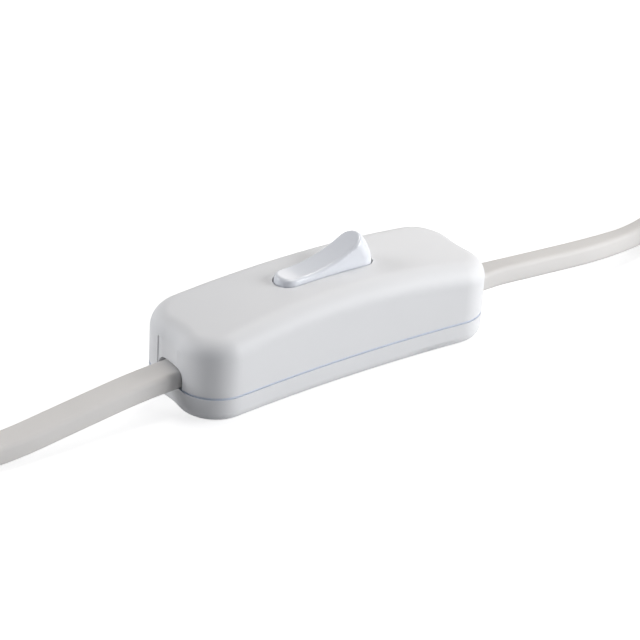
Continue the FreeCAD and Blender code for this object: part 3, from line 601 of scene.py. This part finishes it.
paint(copper, "live_strands_left", "live_strands_right", "neutral_strands_left", "neutral_strands_right")

STRANDS = 9
STRAND_TWISTS = 0.8
STRAND_STEPS = 22
STRAND_SIDES = 7
STRAND_SHARE = 0.3
# How much shorter each strand is than the longest, in millimetres, with the middle one last.
STRAND_SHORTER = (0.0, 0.9, 0.35, 0.6, 0.1, 0.75, 0.25, 0.5, 0.95, 0.2)
strand_low, strand_high = [Vector(corner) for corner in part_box("lamp_strands")]
bundle = (strand_high.z - strand_low.z) / 2
strand_radius = bundle * STRAND_SHARE
strand_verts, strand_faces = [], []
for pole_y in (strand_low.y + bundle, strand_high.y - bundle):
    for strand in range(STRANDS + 1):
        orbit = 0.0 if strand == STRANDS else bundle - strand_radius
        reach = strand_high.x - strand_low.x - STRAND_SHORTER[strand] * MM
        rings = []
        for step in range(STRAND_STEPS + 1):
            share = step / STRAND_STEPS
            angle = 2 * math.pi * (strand / STRANDS + STRAND_TWISTS * share)
            heart = Vector((
                strand_low.x + reach * share,
                pole_y + orbit * math.cos(angle),
                (strand_low.z + strand_high.z) / 2 + orbit * math.sin(angle),
            ))
            rings.append([
                heart + Vector((0, math.cos(a), math.sin(a))) * strand_radius
                for a in (2 * math.pi * side / STRAND_SIDES for side in range(STRAND_SIDES))
            ])
        verts, faces = skin(rings)
        strand_faces += [tuple(len(strand_verts) + corner for corner in face) for face in faces]
        strand_verts += verts
copper_bundles = new_piece("copper_bundles", strand_verts, strand_faces, copper)
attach(copper_bundles, "housing")
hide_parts("lamp_strands")


# The two covers are white ABS, injection moulded in a finely eroded mould: a satin white with a
# soft, broad shine. The eroded grain is 0.1 mm on the real cover and is drawn four times as coarse.
# Painted shade: a band at the height of the parting seam's groove is coloured bluer and a little darker
# than the skin beside it, for the bluish shade in the groove.
SEAM_MIDDLE = 5.55 * MM
SEAM_HALF = 0.27 * MM
FLOW_CLOUD = 22.0 * MM


def moulded_plastic(name, light_tone, dark_tone, roughness, grain_size, grain_depth, seam_shade_tone=None):
    """A hard plastic between two close tones. A seam shade tone paints the bluish shade of the parting
    seam's groove in a band at its height.
    """
    made = new_material(name)
    place = add(made, "ShaderNodeTexCoord", {})
    flow = add(made, "ShaderNodeTexNoise", {
        "Vector": place.outputs["Object"], "Scale": 1 / FLOW_CLOUD, "Detail": 3.0,
    })
    tone = add(made, "ShaderNodeMix", {
        "Factor": flow.outputs["Fac"], "A": linear(dark_tone), "B": linear(light_tone),
    }, data_type="RGBA")
    # Painted shade: the band at the seam's height takes the bluish, darker tone of the shade in the
    # groove.
    if seam_shade_tone:
        axes = add(made, "ShaderNodeSeparateXYZ", {"Vector": place.outputs["Object"]})
        seam_shade_band = add(made, "ShaderNodeMath", {
            0: axes.outputs["Z"], 1: SEAM_MIDDLE, 2: SEAM_HALF,
        }, operation="COMPARE")
        tone = add(made, "ShaderNodeMix", {
            "Factor": seam_shade_band.outputs[0], "A": tone.outputs["Result"], "B": linear(seam_shade_tone),
        }, data_type="RGBA")
    grain = add(made, "ShaderNodeTexNoise", {
        "Vector": place.outputs["Object"], "Scale": 1 / grain_size, "Detail": 2.0, "Roughness": 0.6,
    })
    bump = add(made, "ShaderNodeBump", {
        "Height": grain.outputs["Fac"], "Strength": 0.2, "Distance": grain_depth,
    })
    rough = add(made, "ShaderNodeMapRange", {
        "Value": flow.outputs["Fac"], "To Min": roughness - 0.04, "To Max": roughness + 0.04,
    })
    shader = add(made, "ShaderNodeBsdfPrincipled", {
        "Base Color": tone.outputs["Result"],
        "Roughness": rough.outputs["Result"],
        "Normal": bump.outputs[0],
        "IOR": 1.53,
    })
    add(made, "ShaderNodeOutputMaterial", {"Surface": shader.outputs[0]})
    return made


# The seam shade tone is painted shade: the bluish, darker band of the parting seam's groove.
satin_abs = moulded_plastic(
    "white_abs_eroded", "#E8E9EB", "#E4E5E7", 0.56, 0.4 * MM, 0.02 * MM, seam_shade_tone="#DAE0EA",
)
paint(satin_abs, "top_cover", "bottom_cover")


# The rocker is the same plastic from a polished mould, so it is glossier and a little bluer, with
# a barely wavy skin. It turns on two trunnions in lugs under the top cover.
gloss_abs = moulded_plastic("white_abs_polished", "#EAEDF3", "#E7EAF0", 0.14, 3.0 * MM, 0.01 * MM)
paint(gloss_abs, "rocker")


# The plunger in the rocker's stem is natural acetal turned from rod, a waxy white. The two clamps
# that hold the cord are grey glass-filled nylon with a coarser grain, each held by two screws.
acetal = moulded_plastic("natural_acetal_turned", "#E9E7DC", "#E2DFD2", 0.4, 0.5 * MM, 0.02 * MM)
filled_nylon = moulded_plastic("grey_nylon_filled", "#C9C9C6", "#BDBDBA", 0.55, 0.8 * MM, 0.06 * MM)
paint(acetal, "spring_plunger")
paint(filled_nylon, "cord_clamp_left", "cord_clamp_right")


# The current-carrying strips are stamped from hard brass, the contacts are silver rivets, and the
# screws and spring are zinc-plated steel: fine rubbed marks and a slightly uneven shine.
RUB_STRETCH = 0.15
RUB_DEEP = 0.02 * MM


def rubbed_metal(name, light_tone, dark_tone, roughness, rub_size):
    """A metal between two close tones, with marks rubbed along X."""
    made = new_material(name)
    place = add(made, "ShaderNodeTexCoord", {})
    rub = add(made, "ShaderNodeMapping", {
        "Vector": place.outputs["Object"], "Scale": (RUB_STRETCH / rub_size, 1 / rub_size, 1 / rub_size),
    })
    marks = add(made, "ShaderNodeTexNoise", {"Vector": rub.outputs[0], "Scale": 1.0, "Detail": 5.0})
    tone = add(made, "ShaderNodeMix", {
        "Factor": marks.outputs["Fac"], "A": linear(dark_tone), "B": linear(light_tone),
    }, data_type="RGBA")
    rough = add(made, "ShaderNodeMapRange", {
        "Value": marks.outputs["Fac"], "To Min": roughness - 0.1, "To Max": roughness + 0.1,
    })
    bump = add(made, "ShaderNodeBump", {
        "Height": marks.outputs["Fac"], "Strength": 0.15, "Distance": RUB_DEEP,
    })
    shader = add(made, "ShaderNodeBsdfPrincipled", {
        "Base Color": tone.outputs["Result"],
        "Metallic": 1.0,
        "Roughness": rough.outputs["Result"],
        "Normal": bump.outputs[0],
    })
    add(made, "ShaderNodeOutputMaterial", {"Surface": shader.outputs[0]})
    return made


brass = rubbed_metal("hard_brass_stamped", "#DDBB72", "#C49E52", 0.3, 0.5 * MM)
silver = rubbed_metal("contact_silver_riveted", "#E4E3DE", "#CFCDC6", 0.22, 0.4 * MM)
zinc_steel = rubbed_metal("steel_zinc_plated", "#C9CCD1", "#B1B4BA", 0.3, 0.4 * MM)
paint(brass, "contact_bridge", "live_in_terminal", "live_out_terminal", "neutral_link")
paint(silver, "moving_contact", "fixed_contact")
paint(zinc_steel, "terminal_screws", "clamp_screws", "housing_screws", "rocker_spring")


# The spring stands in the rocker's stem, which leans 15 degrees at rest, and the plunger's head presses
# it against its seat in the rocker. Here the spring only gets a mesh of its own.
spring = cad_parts["rocker_spring"]
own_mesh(spring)
